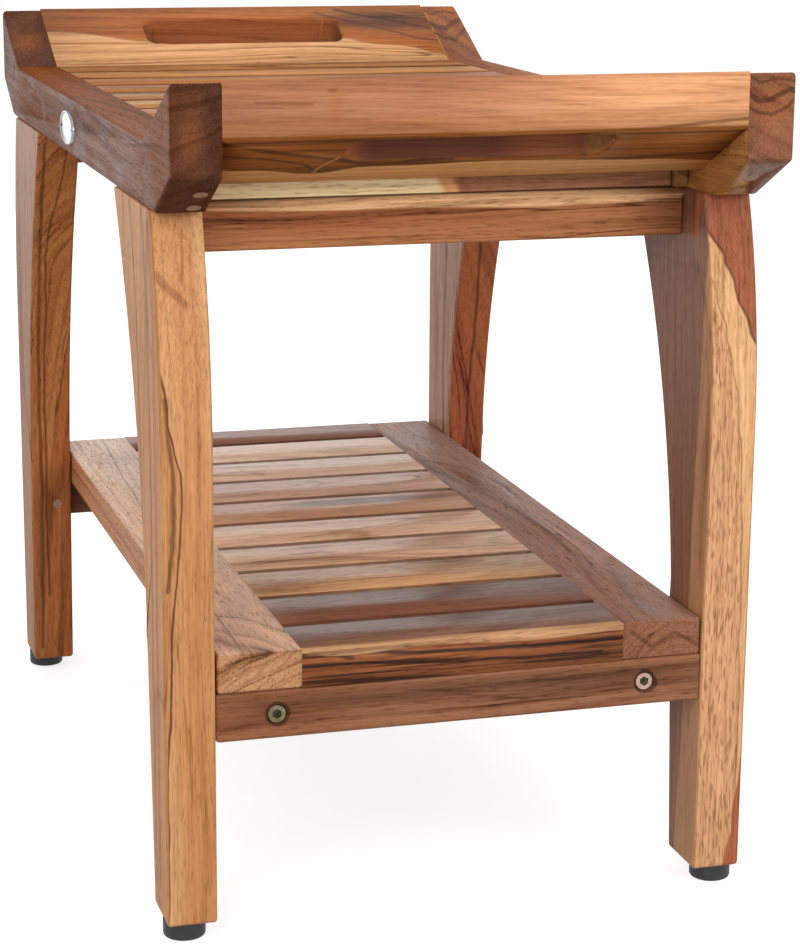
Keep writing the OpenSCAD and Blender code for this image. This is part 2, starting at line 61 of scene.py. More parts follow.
# Eased edges, in metres, and which edges are eased
BOARD_EASE = 0.0020
ARM_EASE = 0.0028
SLAT_EASE = 0.0012
SMALL_EASE = 0.0004
EASE_STEPS = 3
FOLD_DEG = 30.0          # an edge is eased where its faces fold by more than this
HOLE_FACET = 0.00125     # the facets of the round holes are no longer than this
FLUSH_PLAY = 0.0006      # an edge as near as this to a flush plane lies on it
SAME_PLACE = 1e-6

# Planes of the bench, in millimetres
END_X = 305.0            # the side rails' ends
TOP_Z = 480.0            # the side rails' raised ends
RAIL_TOP_Z = 444.5       # the side rails between their raised ends
RAIL_INNER_Y = 144.0
BEVEL_Z = 431.4          # where a side rail's end turns into its lower bevel
ARM_UNDER_Z = 450.0      # the arm boards' underside at END_X
LEG_OUTER_Y = 171.5
LEG_INNER_Y = 143.0
SHELF_END_X = 270.1
SHELF_TOP_Z = 166.0
SHELF_INNER_Y = 94.5     # where the shelf's slats meet its long boards
SHELF_OUTER_Y = 142.0
BOLT_Y = 108.5
BOLT_Z = 130.0
STRETCHER_X = 270.0

# Planes where two boards' faces meet flush, so that their edges on them stay sharp
RAIL_FLUSH = (("Y", RAIL_INNER_Y),)
SHELF_FLUSH = (("Y", SHELF_INNER_Y),)
TOP_EDGES = {"width": ARM_EASE, "flush": RAIL_FLUSH}

# The slope of the arm boards and of the rails' lower bevels, as (sine, cosine)
ARM_SLOPE = (0.43492, 0.90047)
BEVEL_SLOPE = (0.463, 0.886)
BEVEL_PLANE = BEVEL_SLOPE[0] * END_X - BEVEL_SLOPE[1] * BEVEL_Z
RAISED_PLANE = 299.6     # the slope up to the side rails' far raised ends

# The arm boards' hand slots, in millimetres: half width and half length, the corners' radius,
# and how far down the slope their middle lies
SLOT_HALF = (17.0, 72.5)
SLOT_CORNER = 10.0
SLOT_MIDDLE = 34.5


# ---------------------------------------------------------------- node graphs

class Graph:
    """Short words for building one material's nodes."""

    def __init__(self, name):
        self.material = bpy.data.materials.new(name)
        self.material.use_nodes = True
        self.tree = self.material.node_tree
        self.tree.nodes.clear()
        self.shader = self.add("ShaderNodeBsdfPrincipled")
        output = self.add("ShaderNodeOutputMaterial")
        self.link(self.shader.outputs["BSDF"], output.inputs["Surface"])

    def add(self, kind, **settings):
        node = self.tree.nodes.new(kind)
        for key, value in settings.items():
            setattr(node, key, value)
        return node

    def link(self, source, target):
        self.tree.links.new(source, target)

    def feed(self, target, value):
        if isinstance(value, bpy.types.NodeSocket):
            self.link(value, target)
        else:
            target.default_value = value

    def math(self, operation, a, b=0.0, c=0.0, clamp=False):
        node = self.add("ShaderNodeMath", operation=operation, use_clamp=clamp)
        for socket, value in zip(node.inputs, (a, b, c)):
            self.feed(socket, value)
        return node.outputs[0]

    def fma(self, a, b, c):
        return self.math("MULTIPLY_ADD", a, b, c)

    def product(self, a, b):
        return self.math("MULTIPLY", a, b)

    def minus(self, a, b):
        return self.math("SUBTRACT", a, b)

    def vector(self, operation, a, b=(0.0, 0.0, 0.0), scale=1.0):
        node = self.add("ShaderNodeVectorMath", operation=operation)
        for socket, value in zip(node.inputs, (a, b)):
            if socket.enabled:
                self.feed(socket, value)
        if operation == "SCALE":
            self.feed(node.inputs["Scale"], scale)
        gives_number = operation in ("DOT_PRODUCT", "DISTANCE", "LENGTH")
        return node.outputs["Value" if gives_number else "Vector"]

    def combine(self, x, y, z):
        node = self.add("ShaderNodeCombineXYZ")
        for socket, value in zip(node.inputs, (x, y, z)):
            self.feed(socket, value)
        return node.outputs[0]

    def split(self, vector):
        node = self.add("ShaderNodeSeparateXYZ")
        self.link(vector, node.inputs[0])
        return node.outputs

    def noise(self, vector, scale=1.0, detail=2.0, rough=0.5, twist=0.0):
        node = self.add("ShaderNodeTexNoise", noise_dimensions="3D")
        self.link(vector, node.inputs["Vector"])
        node.inputs["Scale"].default_value = scale
        node.inputs["Detail"].default_value = detail
        node.inputs["Roughness"].default_value = rough
        node.inputs["Distortion"].default_value = twist
        return node.outputs["Fac"]

    def times(self, vector, x, y, z):
        return self.vector("MULTIPLY", vector, (x, y, z))

    def step(self, value, low, high, to_low=0.0, to_high=1.0):
        """A smooth step of value between low and high."""
        node = self.add("ShaderNodeMapRange", interpolation_type="SMOOTHSTEP")
        for socket, entry in zip(node.inputs, (value, low, high, to_low, to_high)):
            self.feed(socket, entry)
        return node.outputs[0]

    def ramp(self, value, stops):
        """An eased run of greys, from (place, grey) stops."""
        node = self.add("ShaderNodeValToRGB")
        node.color_ramp.interpolation = "EASE"
        ends = node.color_ramp.elements
        while len(ends) < len(stops):
            ends.new(0.5)
        for element, (place, grey) in zip(ends, stops):
            element.position = place
            element.color = (grey, grey, grey, 1.0)
        self.link(value, node.inputs[0])
        return node.outputs[0]

    def blend(self, amount, a, b):
        node = self.add("ShaderNodeMix", data_type="RGBA")
        self.feed(node.inputs[0], amount)
        for socket, value in ((node.inputs[6], a), (node.inputs[7], b)):
            is_socket = isinstance(value, bpy.types.NodeSocket)
            self.feed(socket, value if is_socket else (*value, 1.0))
        return node.outputs[2]

    def bump(self, height, distance, strength):
        node = self.add("ShaderNodeBump")
        self.link(height, node.inputs["Height"])
        node.inputs["Distance"].default_value = distance
        node.inputs["Strength"].default_value = strength
        self.link(node.outputs[0], self.shader.inputs["Normal"])

    def place(self, location=(0.0, 0.0, 0.0), turn=(0.0, 0.0, 0.0)):
        """Object coordinates seen from a frame at location, turned by Euler angles in degrees,
        and the object coordinates themselves."""
        coordinates = self.add("ShaderNodeTexCoord")
        mapping = self.add("ShaderNodeMapping", vector_type="TEXTURE")
        self.link(coordinates.outputs["Object"], mapping.inputs["Vector"])
        mapping.inputs["Location"].default_value = location
        mapping.inputs["Rotation"].default_value = [math.radians(a) for a in turn]
        return mapping.outputs[0], coordinates.outputs["Object"]


# ---------------------------------------------------------------- teak

ALONG = {"X": (0.0, 0.0, 0.0), "Y": (0.0, 0.0, 90.0), "Z": (0.0, -90.0, 0.0)}
AXIS = {"X": (1.0, 0.0, 0.0), "Y": (0.0, 1.0, 0.0), "Z": (0.0, 0.0, 1.0)}

# Tones of the wood, as linear colours
PALE = (0.72, 0.39, 0.17)
GOLD = (0.62, 0.28, 0.1)
HONEY = (0.5, 0.2, 0.065)
TAN = (0.52, 0.26, 0.12)
ORANGE = (0.74, 0.31, 0.11)
PINK = (0.62, 0.34, 0.215)
ROSE = (0.45, 0.185, 0.09)
RUST = (0.42, 0.13, 0.038)
RED = (0.42, 0.11, 0.05)
BROWN = (0.26, 0.092, 0.038)
MAUVE = (0.235, 0.11, 0.07)
PLUM = (0.15, 0.062, 0.042)
UMBER = (0.11, 0.038, 0.018)
GREY = (0.36, 0.21, 0.14)
OLIVE = (0.38, 0.2, 0.065)
INK = (0.045, 0.018, 0.011)
# SHEEN is no tone of the wood: it is painted sheen, the whitish glare that the boards show at a
# grazing view.
SHEEN = (0.34, 0.3, 0.31)

# How fast a figure of the wood changes along the board, across its rings and through it, per
# metre, and the shift along the board that keeps it apart from the other figures
RING_FADE = (3.2, 30.0, 5.0, 11.0)
STREAKS = (2.2, 150.0, 10.0, 7.0)
LINES = (2.6, 62.0, 7.0, 19.0)
GROUND = (1.5, 42.0, 6.0, 0.0)
LINES_COME_AND_GO = (4.0, 24.0, 31.0)

# The same for what doesn't follow the rings
SLOW_BEND = (1.0, 9.0, 9.0)
QUICK_BEND = (1.3, 13.0, 13.0)
CLOUD = (22.0, 46.0, 46.0)
FIBRE = (9.0, 640.0, 640.0)
PORE = (110.0, 1400.0, 1400.0)

DRIFT = 2.6              # how fast the bending changes along the board
WANDER = 0.048           # how far it moves a ring, in metres
UNEVEN = (70.0, 2.2)     # how fast the rings' width changes, per metre, and by how many rings
RING_SHADE = [(0.0, 0.25), (0.1, 0.0), (0.55, 0.28), (0.86, 1.0), (1.0, 0.3)]
LINE_LEVEL = 0.47        # a thin line is drawn where its figure crosses this
LINE_HALF = 0.016
DARKEST = 0.12           # the least light that the figure leaves
GREEN_LOSS = 1.22        # green and blue are the keep of red raised to these
BLUE_LOSS = 1.40
GRAIN_DEPTH = (0.00012, 0.55)


class Log:
    """The log that a board is sawn from: the place along it, the distance from its heart, bent by
    slow noise and pushed aside round knots, and the figures that follow from them."""

    def __init__(self, g, local, plain, knots, seed):
        self.g, self.seed = g, seed
        self.length, across, self.through = g.split(local)
        drift = g.combine(g.fma(self.length, DRIFT, seed), across, self.through)
        slow = g.noise(g.times(drift, *SLOW_BEND), 1.0, 2.0)
        quick = g.noise(g.times(drift, *QUICK_BEND), 1.0, 1.0)
        a = g.fma(g.minus(slow, 0.5), WANDER, across)
        b = g.fma(g.minus(quick, 0.5), WANDER, self.through)
        for centre, reach, push in knots:
            a = g.fma(bulge(g, plain, centre, reach), push, a)
        squares = g.math("ADD", g.product(a, a), g.product(b, b))
        self.radius = g.math("SQRT", squares)

    def figure(self, slow, fine, thick, shift, detail=2.0):
        """Noise drawn out along the board and packed close across its rings."""
        g = self.g
        place = g.combine(g.fma(self.length, slow, self.seed + shift),
                          g.product(self.radius, fine), g.product(self.through, thick))
        return g.noise(place, 1.0, detail, 0.55)

    def rings(self, width):
        """Rings of uneven width, each darkening towards its thin late line, and how strongly they
        show from place to place."""
        g = self.g
        change, reach = UNEVEN
        place = g.combine(g.product(self.radius, change), self.seed, 0.0)
        uneven = g.noise(place, 1.0, 1.0)
        even = g.math("DIVIDE", self.radius, width)
        count = g.math("ADD", even, g.product(uneven, reach))
        late = g.ramp(g.math("FRACT", count), RING_SHADE)
        return late, g.step(self.figure(*RING_FADE), 0.35, 0.65, 0.25, 1.0)

    def thin_lines(self):
        """Thin dark lines where a slow figure crosses its middle, coming and going."""
        g = self.g
        off = g.minus(self.figure(*LINES, 3.0), LINE_LEVEL)
        line = g.step(g.math("ABSOLUTE", off), 0.0, LINE_HALF, 1.0, 0.0)
        slow, fine, shift = LINES_COME_AND_GO
        place = g.combine(g.fma(self.length, slow, self.seed + shift),
                          g.product(self.radius, fine), 0.0)
        return g.product(line, g.step(g.noise(place, 1.0, 1.0), 0.42, 0.62))


def teak(name, along, heart, light, deep, tilt=(0.0, 0.0), ring=0.006, rings=0.3, streaks=0.35,
         lines=0.45, pores=0.28, marks=(), mottle=0.0, knots=(), seed=0.0, gloss=0.42, shine=0.09):
    """Wood sawn from a log whose heart runs near the point heart, along one axis of the bench.

    The log gives the growth rings, the long streaks, the thin dark lines and the change between
    the tones light and deep; finer noise gives the fibres and the pores. Marks are shapes in the
    bench's frame, in millimetres, each with a tone and an amount. The figure darkens blue and
    green more than red, as oiled teak does.
    """
    g = Graph(name)
    local, plain = g.place(heart, [a + t for a, t in zip(ALONG[along], (0.0, *tilt))])
    log = Log(g, local, plain, knots, seed)

    late, fade = log.rings(ring)
    dark = g.product(g.product(late, fade), rings)
    streak = g.step(log.figure(*STREAKS, 3.0), 0.5, 0.74)
    dark = g.fma(streak, streaks, dark)
    dark = g.fma(log.thin_lines(), lines, dark)

    colour = g.blend(g.step(log.figure(*GROUND, 3.0), 0.38, 0.64), light, deep)
    # Painted sheen: cloudy patches blended towards SHEEN, standing in for the boards' own glare.
    if mottle:
        cloud = g.noise(g.times(local, *CLOUD), 1.0, 3.0, 0.62, 0.5)
        colour = g.blend(g.step(cloud, 0.45, 0.66, 0.0, mottle), colour, SHEEN)
    spot = Spot(g, plain, local)
    for shape, paint, amount in marks:
        colour = g.blend(g.product(shape(g, spot), amount), colour, paint)

    fibre = g.noise(g.times(local, *FIBRE), 1.0, 3.0, 0.65)
    pore = g.step(g.noise(g.times(local, *PORE), 1.0, 1.0, 0.5), 0.56, 0.7)
    dark = g.math("ADD", dark, g.step(fibre, 0.28, 0.72, -0.1, 0.16))
    dark = g.fma(pore, pores, dark)
    keep = g.math("MAXIMUM", g.minus(1.0, dark), DARKEST)
    keep_rgb = g.combine(keep, g.math("POWER", keep, GREEN_LOSS), g.math("POWER", keep, BLUE_LOSS))
    g.link(g.vector("MULTIPLY", colour, keep_rgb), g.shader.inputs["Base Color"])

    rough = g.fma(fibre, 0.16, gloss - 0.06)
    g.link(g.fma(pore, 0.15, rough), g.shader.inputs["Roughness"])
    g.shader.inputs["Specular IOR Level"].default_value = shine
    raised = g.fma(late, 0.2, fibre)
    g.bump(g.minus(raised, g.product(pore, 0.7)), *GRAIN_DEPTH)
    return g.material


def bulge(g, plain, centre, reach):
    """exp(-d^2), where d is the distance from the centre in units of reach, in millimetres."""
    from_centre = g.vector("SUBTRACT", plain, [c * 0.001 for c in centre])
    away = g.vector("MULTIPLY", from_centre, [1000.0 / r for r in reach])
    fall = g.product(g.vector("DOT_PRODUCT", away, away), -1.0)
    return g.math("POWER", math.e, fall)


# ---------------------------------------------------------------- shapes of the marks

class Spot:
    """The place being shaded, in millimetres: as it is, and shaken a little so that drawn edges
    look grown."""

    def __init__(self, g, plain, local):
        shake = g.noise(g.times(local, 16.0, 60.0, 60.0), 1.0, 3.0, 0.6)
        sway = g.noise(g.times(local, 30.0, 90.0, 90.0), 1.0, 2.0, 0.5)
        offset = g.combine(g.fma(shake, 4.0, -2.0), g.fma(sway, 4.0, -2.0),
                           g.fma(shake, -4.0, 2.0))
        self.true = g.vector("SCALE", plain, scale=1000.0)
        self.place = g.vector("ADD", self.true, offset)


def slab(normal, middle, half=0.6, soft=1.0, shaken=False):
    """1 within half of the plane normal . place = middle; the normal may be an axis's letter."""
    def shape(g, spot):
        place = spot.place if shaken else spot.true
        reach = g.vector("DOT_PRODUCT", place, AXIS.get(normal, normal))
        away = g.math("ABSOLUTE", g.minus(reach, middle))
        return g.step(away, half, half + soft, 1.0, 0.0)
    return shape


def pool(centre, reach, soft=0.5):
    """1 inside an ellipsoid, fading over soft of its size."""
    def shape(g, spot):
        from_centre = g.vector("SUBTRACT", spot.place, centre)
        away = g.vector("MULTIPLY", from_centre, [1.0 / r for r in reach])
        return g.step(g.vector("LENGTH", away), 1.0 - soft, 1.0, 1.0, 0.0)
    return shape


def stroke(points, width, drop="X"):
    """1 on a line through points, fading to its sides, seen along the dropped axis: the points
    give the two other coordinates."""
    def shape(g, spot):
        place = g.vector("MULTIPLY", spot.place, [1.0 - part for part in AXIS[drop]])
        flat = [np.insert(np.array(p, dtype=float), "XYZ".index(drop), 0.0) for p in points]
        nearest = None
        for start, end in zip(flat, flat[1:]):
            run = end - start
            from_start = g.vector("SUBTRACT", place, tuple(start))
            reach = g.vector("DOT_PRODUCT", from_start, tuple(run))
            share = g.math("DIVIDE", reach, float(run @ run), clamp=True)
            on_line = g.vector("SCALE", tuple(run), scale=share)
            away = g.vector("DISTANCE", from_start, on_line)
            nearest = away if nearest is None else g.math("MINIMUM", nearest, away)
        return g.step(nearest, width * 0.25, width, 1.0, 0.0)
    return shape


def offshore(g, spot, along, across, points):
    """How far a place lies past a shore, drawn as (place along, place across) points."""
    first, last = points[0][0], points[-1][0]
    low, high = min(p[1] for p in points), max(p[1] for p in points)
    from_first = g.minus(g.vector("DOT_PRODUCT", spot.true, AXIS[along]), first)
    share = g.math("DIVIDE", from_first, last - first, clamp=True)
    stops = [((p[0] - first) / (last - first), (p[1] - low) / (high - low)) for p in points]
    edge = g.fma(g.ramp(share, stops), high - low, low)
    return g.minus(g.vector("DOT_PRODUCT", spot.place, AXIS[across]), edge)


def shore(along, across, points, side=-1, soft=1.5):
    """1 on one side of a drawn shore: -1 is the lower side, 1 the upper."""
    def shape(g, spot):
        past = offshore(g, spot, along, across, points)
        return g.step(g.product(past, side), -soft / 2, soft / 2)
    return shape


def shoreline(along, across, points, width):
    """1 on the shore itself."""
    def shape(g, spot):
        past = g.math("ABSOLUTE", offshore(g, spot, along, across, points))
        return g.step(past, width * 0.25, width, 1.0, 0.0)
    return shape


def flecks(low, high, scale=(0.85, 0.85, 0.1)):
    """Dashes or stripes, packed by scale per millimetre along each axis."""
    def shape(g, spot):
        return g.step(g.noise(g.times(spot.true, *scale), 1.0, 1.0), low, high)
    return shape


def both(*shapes):
    """Where all of several shapes meet."""
    def shape(g, spot):
        meet = 1.0
        for part in shapes:
            meet = g.product(meet, part(g, spot))
        return meet
    return shape


def on(face, *marks):
    """The marks, kept to one face."""
    return [(both(face, shape), tone, amount) for shape, tone, amount in marks]


# ---------------------------------------------------------------- other finishes

def metal(name, colour, roughness, brushed=(1.0, 1.0, 1.0)):
    """Satin metal: fine brush marks in its gloss, and a cloudy darker tint."""
    g = Graph(name)
    local, _ = g.place()
    marks = g.noise(g.times(local, *[2400.0 * b for b in brushed]), 1.0, 2.0, 0.6)
    cloud = g.noise(local, 260.0, 2.0, 0.5)
    tint = tuple(c * 0.8 for c in colour)
    g.link(g.blend(g.step(cloud, 0.35, 0.7), colour, tint), g.shader.inputs["Base Color"])
    g.shader.inputs["Metallic"].default_value = 1.0
    g.link(g.fma(marks, 0.16, roughness - 0.06), g.shader.inputs["Roughness"])
    g.bump(marks, 0.00002, 0.4)
    return g.material


def bolt_metal():
    """Yellow-passivated steel, greenish on the front bolts and pinkish on the back, with painted
    shade in the socket of each head."""
    g = Graph("bolt_steel")
    local, _ = g.place()
    _, y, z = g.split(local)
    tint = g.blend(g.step(y, -0.01, 0.01), (0.15, 0.125, 0.055), (0.44, 0.3, 0.245))
    cloud = g.noise(local, 300.0, 2.0, 0.5)
    tint = g.blend(g.step(cloud, 0.4, 0.7, 0.0, 0.6), tint, (0.27, 0.22, 0.16))
    # Painted shade: the socket in each shelf bolt's head is darkened.
    off_axis = g.combine(0.0, g.minus(g.math("ABSOLUTE", y), BOLT_Y * 0.001),
                         g.minus(z, BOLT_Z * 0.001))
    socket = g.step(g.vector("LENGTH", off_axis), 0.002, 0.0026, 1.0, 0.0)
    g.link(g.blend(socket, tint, (0.05, 0.045, 0.04)), g.shader.inputs["Base Color"])
    g.shader.inputs["Metallic"].default_value = 1.0
    g.link(g.fma(cloud, 0.18, 0.22), g.shader.inputs["Roughness"])
    g.bump(g.noise(local, 1500.0, 2.0), 0.00002, 0.4)
    return g.material


def moulded(name, colour, roughness):
    """Black moulded rubber or plastic with a fine pebbled skin and a dusting of wear."""
    g = Graph(name)
    local, _ = g.place()
    pebble = g.noise(local, 1800.0, 2.0, 0.5)
    dust = g.noise(local, 120.0, 3.0, 0.6)
    worn = tuple(c * 1.9 + 0.004 for c in colour)
    g.link(g.blend(g.step(dust, 0.45, 0.75), colour, worn), g.shader.inputs["Base Color"])
    g.link(g.fma(pebble, 0.2, roughness - 0.08), g.shader.inputs["Roughness"])
    g.bump(pebble, 0.00004, 0.5)
    return g.material


def end_grain(name, light, deep):
    """The cut end of a peg: small rings and open pores."""
    g = Graph(name)
    local, _ = g.place()
    rings = g.noise(local, 420.0, 3.0, 0.6, 0.6)
    pore = g.step(g.noise(local, 2600.0, 1.0), 0.6, 0.7)
    colour = g.blend(g.step(rings, 0.35, 0.65), light, deep)
    colour = g.blend(g.product(pore, 0.5), colour, tuple(c * 0.5 for c in deep))
    g.link(colour, g.shader.inputs["Base Color"])
    g.shader.inputs["Roughness"].default_value = 0.6
    g.bump(rings, 0.0001, 0.5)
    return g.material


# ---------------------------------------------------------------- pieces

def read(source, key, kind, width=1):
    """One property of all of a mesh's vertices, edges, loops or faces."""
    values = np.empty(len(source) * width, kind)
    source.foreach_get(key, values)
    return values.reshape(-1, width) if width > 1 else values


def folds(mesh, flush):
    """Which edges are rounded: those folded by more than FOLD_DEG that are no facet of a round
    hole and don't lie on a plane where two boards meet flush.

    The mesh may be in loose faces, so edges are told apart by where they lie. Two unit normals
    that are an angle apart add up to twice the cosine of half of it.
    """
    places = read(mesh.vertices, "co", float, 3)
    steps = np.round(places / SAME_PLACE).astype(np.int64)
    _, point = np.unique(steps, axis=0, return_inverse=True)
    ends = read(mesh.edges, "vertices", np.int32, 2)
    run = np.linalg.norm(places[ends[:, 0]] - places[ends[:, 1]], axis=1)
    _, edge = np.unique(np.sort(point.ravel()[ends], axis=1), axis=0, return_inverse=True)
    edge = edge.ravel()
    sides = read(mesh.polygons, "loop_total", np.int32)
    normals = np.repeat(read(mesh.polygons, "normal", float, 3), sides, axis=0)
    owner = edge[read(mesh.loops, "edge_index", np.int32)]
    total = np.stack([np.bincount(owner, normals[:, k], edge.max() + 1) for k in range(3)], axis=1)
    folded = np.linalg.norm(total, axis=1) < 2 * math.cos(math.radians(FOLD_DEG) / 2)
    rounded = folded[edge] & (run > HOLE_FACET)
    for axis, reach in flush:
        off = np.abs(np.abs(places[ends] @ np.array(AXIS[axis])) - reach * 0.001)
        rounded &= (off > FLUSH_PLAY).any(axis=1)
    return rounded.astype(np.float32)


def ease(obj, width, whole=False, flush=()):
    """Joins a piece's loose faces and rounds its folds, as modifiers that leave its own mesh
    alone; a whole piece has even its smallest folds rounded."""
    weld = obj.modifiers.new("join", "WELD")
    weld.merge_threshold = SAME_PLACE
    bevel = obj.modifiers.new("ease", "BEVEL")
    bevel.width = width
    bevel.segments = EASE_STEPS
    bevel.harden_normals = True
    bevel.use_clamp_overlap = whole
    bevel.limit_method = "ANGLE" if whole else "WEIGHT"
    bevel.angle_limit = math.radians(FOLD_DEG)
    if not whole:
        weight = obj.data.attributes.new("bevel_weight_edge", "FLOAT", "EDGE")
        weight.data.foreach_set("value", folds(obj.data, flush))
    with bpy.context.temp_override(object=obj, active_object=obj, selected_objects=[obj]):
        if obj.data.has_custom_normals:
            bpy.ops.mesh.customdata_custom_splitnormals_clear()
    obj.data.shade_smooth()


def finish_with(node, material):
    """Gives a CAD piece its finish."""
    obj = NODES[node]
    obj.data.materials.clear()
    obj.data.materials.append(material)
    return obj


def middle_of(node):
    low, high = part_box(node)
    return [(a + b) / 2 for a, b in zip(low, high)]


def board(node, along, offset, light, deep, width=BOARD_EASE, flush=(), **grain):
    """Finishes one board: offset is from the board's middle to the heart of its log."""
    heart = [m + o for m, o in zip(middle_of(node), offset)]
    obj = finish_with(node, teak("teak_" + node, along, heart, light, deep, **grain))
    ease(obj, width, flush=flush)


# ---------------------------------------------------------------- the boards

def end_faces(tone, amount=0.92):
    """The two cut ends of a side rail and their lower bevels."""
    sine, cosine = BEVEL_SLOPE
    ends = [slab((side, 0.0, 0.0), END_X) for side in (1.0, -1.0)]
    bevels = [slab((side * sine, 0.0, -cosine), BEVEL_PLANE) for side in (1.0, -1.0)]
    return [(shape, tone, amount) for shape in ends + bevels]


def side_rails():
    sine, cosine = ARM_SLOPE
    top = both(slab("Z", RAIL_TOP_Z, 1.4, 0.4), slab("X", 0.0, 231.0))
    slant = both(slab((sine, 0.0, cosine), RAISED_PLANE, 1.4, 0.4), slab("Z", TOP_Z, 35.5))
    # The front rail carries patches of painted sheen, with its own shine kept low.
    board("side_rail_front", "X", (0.0, 0.05, -0.09), (0.29, 0.15, 0.108), (0.25, 0.108, 0.062),
          seed=1.0, ring=0.007, tilt=(1.2, 0.8), rings=0.25, lines=0.2, mottle=0.42, gloss=0.4,
          shine=0.006, **TOP_EDGES, marks=[
              (slab("Y", -RAIL_INNER_Y, 0.8), RUST, 0.8),
              (top, (0.22, 0.055, 0.008), 0.97),
              (slant, UMBER, 0.85),
              *on(slant, (pool((-262, -160, 459), (20, 24, 18), 0.95), RUST, 0.4)),
              (pool((285, -172, 455), (70, 20, 80), 0.9), BROWN, 0.75),
              (pool((-300, -172, 455), (60, 20, 60), 0.9), PLUM, 0.5),
              *end_faces(UMBER),
              (pool((305, -160, 450), (30, 10, 22), 0.95), BROWN, 0.6),
              (pool((305, -150, 470), (30, 7, 9), 0.8), INK, 0.4),
          ])
    bevel = slab((BEVEL_SLOPE[0], 0.0, -BEVEL_SLOPE[1]), BEVEL_PLANE, 0.8)
    veins = [
        ([(142, 470), (149, 465), (155, 464), (162, 468), (168, 470), (174, 468)], 2.4, 0.8),
        ([(142, 462), (150, 458), (158, 457), (165, 461), (174, 466)], 1.5, 0.7),
        ([(143, 478), (150, 474), (160, 476), (174, 474)], 1.4, 0.6),
    ]
    board("side_rail_back", "X", (0.0, -0.06, -0.07), RUST, BROWN, seed=2.0, ring=0.008,
          tilt=(-1.0, 0.6), streaks=0.3, rings=0.22, **TOP_EDGES, marks=[
              (slab("Y", RAIL_INNER_Y, 0.8), (0.48, 0.225, 0.065), 0.75),
              *end_faces((0.27, 0.115, 0.065), 0.85),
              (pool((305, 158, 462), (30, 20, 22), 0.9), RUST, 0.5),
              *[(stroke(points, width), UMBER, amount) for points, width, amount in veins],
              (bevel, MAUVE, 0.7),
              *on(bevel, (slab((0.44, 1.0, 0.0), 178.2, 100.0, 2.0), (0.42, 0.19, 0.05), 0.9),
                  (pool((290, 158, 424), (12, 5, 10), 0.8), GREY, 0.7)),
          ])


def slot_faces(way):
    """The walls of an arm board's hand slot, a rounded box seen square to the slope; way is 1 at
    the near end of the bench and -1 at the far end."""
    sine, cosine = ARM_SLOPE

    def shape(g, spot):
        down = g.vector("DOT_PRODUCT", spot.true, (-way * cosine, 0.0, -sine))
        down = g.minus(down, SLOT_MIDDLE - END_X * cosine - TOP_Z * sine)
        places = (down, g.vector("DOT_PRODUCT", spot.true, AXIS["Y"]))
        beyond = []
        for place, half in zip(places, SLOT_HALF):
            past = g.minus(g.math("ABSOLUTE", place), half - SLOT_CORNER)
            beyond.append(g.math("MAXIMUM", past, 0.0))
        away = g.vector("LENGTH", g.combine(*beyond, 0.0))
        return g.step(away, SLOT_CORNER + 0.3, SLOT_CORNER + 0.7, 1.0, 0.0)
    return shape


def near_arm_board():
    sine, cosine = ARM_SLOPE
    under = slab((sine, 0.0, -cosine), END_X * sine - ARM_UNDER_Z * cosine, 0.7)
    edge = [(-162, 431), (-120, 429), (-84, 426), (-60, 429), (0, 431), (100, 430), (162, 427)]
    slot = slot_faces(1.0)
    board("arm_board_right", "Y", (0.02, 0.0, 0.1), (0.47, 0.2, 0.098), (0.42, 0.165, 0.08),
          seed=3.0, ring=0.007, tilt=(1.0, -1.2), rings=0.13, streaks=0.14, lines=0.12,
          pores=0.12, **TOP_EDGES, knots=[((276, -80, 436), (12, 16, 9), 0.012)], marks=[
              # Lighter towards the back of the outer face: partly the wood's paler tone and partly
              # painted light.
              (pool((305, 140, 465), (200, 190, 60), 0.9), (1.0, 0.49, 0.235), 0.95),
              *on(slab("X", END_X, 1.0), (slab("Z", 454.0, 3.0, 5.0, True), HONEY, 0.4)),
              (stroke([(50, 449), (90, 451), (144, 455), (165, 455)], 1.6), BROWN, 0.75),
              (stroke([(-126, 468.5), (-112, 468), (-98, 467)], 1.1), BROWN, 0.5),
              (pool((305, -87, 474), (9, 4, 2.4), 0.8), BROWN, 0.6),
              (pool((305, -84, 467), (9, 5, 15), 0.9), RUST, 0.38),
              # The underside is painted darker than its wood, as painted shade; its grain lines are
              # drawn over it.
              (under, (0.3, 0.092, 0.012), 0.94),
              *on(under,
                  (stroke([(305, -162), (268, -60), (262, 60), (272, 162)], 3.5, "Z"), INK, 0.7),
                  (stroke([(296, -162), (286, 0), (290, 162)], 2.0, "Z"), RUST, 0.6),
                  (stroke([(251, 60), (247, 162)], 3.0, "Z"), UMBER, 0.7),
                  (stroke([(301, -162), (300, 0), (301, 162)], 2.2, "Z"), INK, 0.6),
                  (flecks(0.52, 0.62, (0.05, 0.008, 0.35)), INK, 0.45)),
              (shore("Y", "Z", edge, -1, 0.8), (0.92, 0.5, 0.19), 0.95),
              *on(under,
                  (stroke([(285, -150), (277, -112), (268, -92), (258, -83)], 1.8, "Z"), INK, 0.75),
                  (stroke([(258, -81), (264, -66), (268, -45), (270, -10)], 1.5, "Z"), INK, 0.7),
                  (stroke([(256, -84), (264, -82), (277, -76)], 1.4, "Z"), TAN, 0.8)),
              # Painted shade on the hand slot's walls, with warmer patches over it.
              (slot, (0.16, 0.05, 0.028), 0.95),
              *on(slot,
                  (pool((262, -76, 440), (40, 22, 40), 0.7), RUST, 0.9),
                  (pool((262, 76, 440), (40, 14, 40), 0.5), OLIVE, 0.6),
                  (pool((262, 45, 436), (60, 34, 40), 0.8), RUST, 0.45)),
          ])


